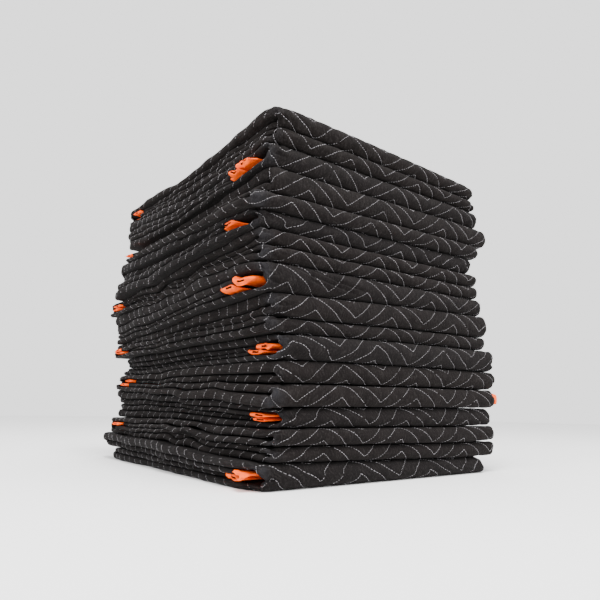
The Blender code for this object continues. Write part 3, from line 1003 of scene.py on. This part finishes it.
class StackColours(bpy.types.PropertyGroup):
    """Colours of the cloth, thread, binding and floor."""

    cloth: bpy.props.FloatVectorProperty(
        name="Cloth", description="Main colour of the cloth",
        default=(0.0078, 0.0062, 0.0058, 1.0), size=4, subtype="COLOR")
    cloth_cool: bpy.props.FloatVectorProperty(
        name="Cooler cloth", description="Colour of the greyer blankets",
        default=(0.0070, 0.0063, 0.0065, 1.0), size=4, subtype="COLOR")
    # Rubbed cloth at the fold corners, partly real rubbing and partly a painted sheen on the noses
    worn_and_sheen: bpy.props.FloatVectorProperty(
        name="Worn cloth", description="Colour of rubbed cloth at the corners",
        default=(0.018, 0.018, 0.0205, 1.0), size=4, subtype="COLOR")
    fleck: bpy.props.FloatVectorProperty(
        name="Flecks", description="Colour of the light fibres in the cloth",
        default=(0.024, 0.021, 0.0205, 1.0), size=4, subtype="COLOR")
    thread: bpy.props.FloatVectorProperty(
        name="Thread", description="Colour of clean thread", default=(0.49, 0.47, 0.495, 1.0), size=4,
        subtype="COLOR")
    thread_dull: bpy.props.FloatVectorProperty(
        name="Dull thread", description="Colour of soiled thread", default=(0.20, 0.19, 0.198, 1.0), size=4,
        subtype="COLOR")
    binding: bpy.props.FloatVectorProperty(
        name="Binding", description="Colour of the bound ends", default=(1.00, 0.115, 0.000, 1.0), size=4,
        subtype="COLOR")
    binding_dark: bpy.props.FloatVectorProperty(
        name="Binding shade", description="Deeper colour in the binding's weave",
        default=(0.82, 0.074, 0.000, 1.0), size=4, subtype="COLOR")
    # Painted shade: a near-black colour put inside the open ends of the binding, where shade falls
    mouth: bpy.props.FloatVectorProperty(
        name="Binding inside", description="Colour inside the open ends of the binding",
        default=(0.020, 0.008, 0.005, 1.0), size=4, subtype="COLOR")
    floor: bpy.props.FloatVectorProperty(
        name="Floor", description="Colour of the floor", default=(0.90, 0.90, 0.90, 1.0), size=4,
        subtype="COLOR")


FINISHES = {}


def finishes():
    if not FINISHES:
        sizes, colours = bpy.context.scene.quilt_sizes, bpy.context.scene.stack_colours
        FINISHES["cloth"] = cloth_finish(sizes, colours)
        FINISHES["thread"] = thread_finish(colours)
        FINISHES["tape"] = tape_finish(colours)
        FINISHES["mouth"] = plain_finish("tape_mouth_shade", colours.mouth, 0.95)
    return FINISHES


QUILTS = {}
BINDINGS = {}


class BLANKETS_OT_quilts(bpy.types.Operator):
    """Make the folded quilted cloth of each blanket"""

    bl_idname = "blankets.quilts"
    bl_label = "Make quilted blankets"

    def execute(self, context):
        sizes = context.scene.quilt_sizes
        for number in range(1, len(BLANKETS) + 1):
            grid = make_grid(number, sizes)
            GRIDS[number] = grid
            piece, used = grid_object(f"quilt_{number:02d}", grid, BLANKETS[number - 1].book == "front",
                                      finishes()["cloth"])
            points = grid.points.reshape(-1, 3)[used]
            vertex_values(piece, "wear_and_sheen", wear_and_sheen_at(number, points))
            vertex_values(piece, "tint", np.full(len(points), TINTS[number % len(TINTS)]))
            seat(piece, [f"blanket_{number:02d}"])
            QUILTS[number] = piece
        return {"FINISHED"}


class BLANKETS_OT_stitching(bpy.types.Operator):
    """Make the zigzag quilting stitches that show on each blanket"""

    bl_idname = "blankets.stitching"
    bl_label = "Make stitching"

    def execute(self, context):
        sizes = context.scene.quilt_sizes
        for number, grid in GRIDS.items():
            a, b, out = stitches(grid, sizes, number)
            piece = stitch_mesh(f"stitching_{number:02d}", a, b, out, sizes.thread_width,
                                sizes.thread_width * 0.5, finishes()["thread"])
            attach(piece, "root")
        return {"FINISHED"}


class BLANKETS_OT_bindings(bpy.types.Operator):
    """Make the orange bound ends of each blanket and the small tape end"""

    bl_idname = "blankets.bindings"
    bl_label = "Make bindings"

    def execute(self, context):
        materials = (finishes()["tape"], finishes()["mouth"])
        for number in QUILTS:
            for which in ("lower", "upper"):
                piece = binding_piece(number, which, materials)
                seat(piece, [f"end_binding_{number:02d}_{which}"])
                BINDINGS.setdefault(number, []).append(piece)
        piece = tab_piece(materials)
        seat(piece, ["corner_binding_04"])
        BINDINGS[TAB_BLANKET].append(piece)
        return {"FINISHED"}


class BLANKETS_OT_declare(bpy.types.Operator):
    """Reads each blanket's width and strip length, and keeps neither"""

    bl_idname = "blankets.declare"
    bl_label = "Declare the cloth"

    def execute(self, context):
        for number, piece in QUILTS.items():
            row = BLANKETS[number - 1]
            grid = GRIDS[number]
            row.right - row.left
            abs(grid.v[-1] - grid.v[0])
        return {"FINISHED"}


# The stage: half the floor's width, the light all round, and each panel's place, size and power; all
# panels are turned to the middle of the stack
FLOOR_HALF = 6.0
WORLD_STRENGTH = 1.9
PANELS = {
    "overhead_panel": ((-0.5, -0.9, 2.1), 0.9, 90.0),
    "left_panel": ((-2.2, -0.2, 1.9), 1.0, 30.0),
    "right_panel": ((1.4, -2.4, 1.4), 1.4, 24.0),
}
PANELS_AIM = (0.0, 0.0, 0.22)

# The camera: where it stands in the stack's own frame, its yaw, pitch and roll in degrees, and its focal
# length over the picture's width
CAMERA_AT = (-0.361, -0.542, 0.095)
CAMERA_TURN = (37.4, 11.8, 0.9)
CAMERA_FOCUS = 533.5 / 600


class BLANKETS_OT_stage(bpy.types.Operator):
    """Make the floor, the lights and the camera"""

    bl_idname = "blankets.stage"
    bl_label = "Make stage"

    def execute(self, context):
        colours = context.scene.stack_colours
        corners = [(x * FLOOR_HALF, y * FLOOR_HALF, 0) for x, y in ((-1, -1), (1, -1), (1, 1), (-1, 1))]
        paper = plain_finish("floor_paper", colours.floor, 0.9)
        floor = mesh_object("floor", corners, [(0, 1, 2, 3)], paper)
        world = bpy.data.worlds.new("studio")
        context.scene.world = world
        world.use_nodes = True
        background = world.node_tree.nodes["Background"]
        background.inputs["Color"].default_value = (1.0, 1.0, 1.0, 1.0)
        background.inputs["Strength"].default_value = WORLD_STRENGTH
        for name, (stands_at, size, power) in PANELS.items():
            light = bpy.data.lights.new(name, "AREA")
            light.size = size
            light.energy = power
            lamp = bpy.data.objects.new(name, light)
            lamp.location = stands_at
            aim = Vector(PANELS_AIM) - Vector(stands_at)
            lamp.rotation_euler = aim.to_track_quat("-Z", "Y").to_euler()
            context.scene.collection.objects.link(lamp)
        make_camera(context)
        return {"FINISHED"}


def make_camera(context):
    yaw, pitch, roll = (math.radians(angle) for angle in CAMERA_TURN)
    up = Vector((0, 0, 1))
    level_forward = Vector((math.sin(yaw), math.cos(yaw), 0))
    level_right = Vector((math.cos(yaw), -math.sin(yaw), 0))
    forward = math.cos(pitch) * level_forward + math.sin(pitch) * up
    upward = -math.sin(pitch) * level_forward + math.cos(pitch) * up
    right = level_right * math.cos(roll) + upward * math.sin(roll)
    upward = upward * math.cos(roll) - level_right * math.sin(roll)
    lens = bpy.data.cameras.new("photo_view")
    lens.lens = lens.sensor_width * CAMERA_FOCUS
    camera = bpy.data.objects.new("photo_view", lens)
    turned = Matrix((right, upward, -forward)).transposed().to_4x4()
    camera.matrix_world = Matrix.Translation(Vector(CAMERA_AT) - Vector(ORIGIN)) @ turned
    context.scene.collection.objects.link(camera)
    context.scene.camera = camera


class BLANKETS_PT_stack(bpy.types.Panel):
    """Lists the sizes, the colours and the buttons that make the pieces"""

    bl_idname = "BLANKETS_PT_stack"
    bl_label = "Blanket stack"
    bl_space_type = "VIEW_3D"
    bl_region_type = "UI"
    bl_category = "Blankets"

    def draw(self, context):
        for group in (context.scene.quilt_sizes, context.scene.stack_colours):
            for name in group.bl_rna.properties.keys():
                if name not in ("rna_type", "name"):
                    self.layout.prop(group, name)
        for operator in OPERATORS:
            self.layout.operator(operator.bl_idname)


OPERATORS = (BLANKETS_OT_quilts, BLANKETS_OT_stitching, BLANKETS_OT_bindings, BLANKETS_OT_declare,
             BLANKETS_OT_stage)
CLASSES = (QuiltSizes, StackColours, *OPERATORS, BLANKETS_PT_stack)


def register():
    for item in CLASSES:
        bpy.utils.register_class(item)
    bpy.types.Scene.quilt_sizes = bpy.props.PointerProperty(type=QuiltSizes)
    bpy.types.Scene.stack_colours = bpy.props.PointerProperty(type=StackColours)


def unregister():
    del bpy.types.Scene.stack_colours
    del bpy.types.Scene.quilt_sizes
    for item in reversed(CLASSES):
        bpy.utils.unregister_class(item)


def main():
    register()
    bpy.ops.blankets.quilts()
    bpy.ops.blankets.stitching()
    bpy.ops.blankets.bindings()
    bpy.ops.blankets.declare()
    bpy.ops.blankets.stage()


if __name__ == "__main__":
    main()
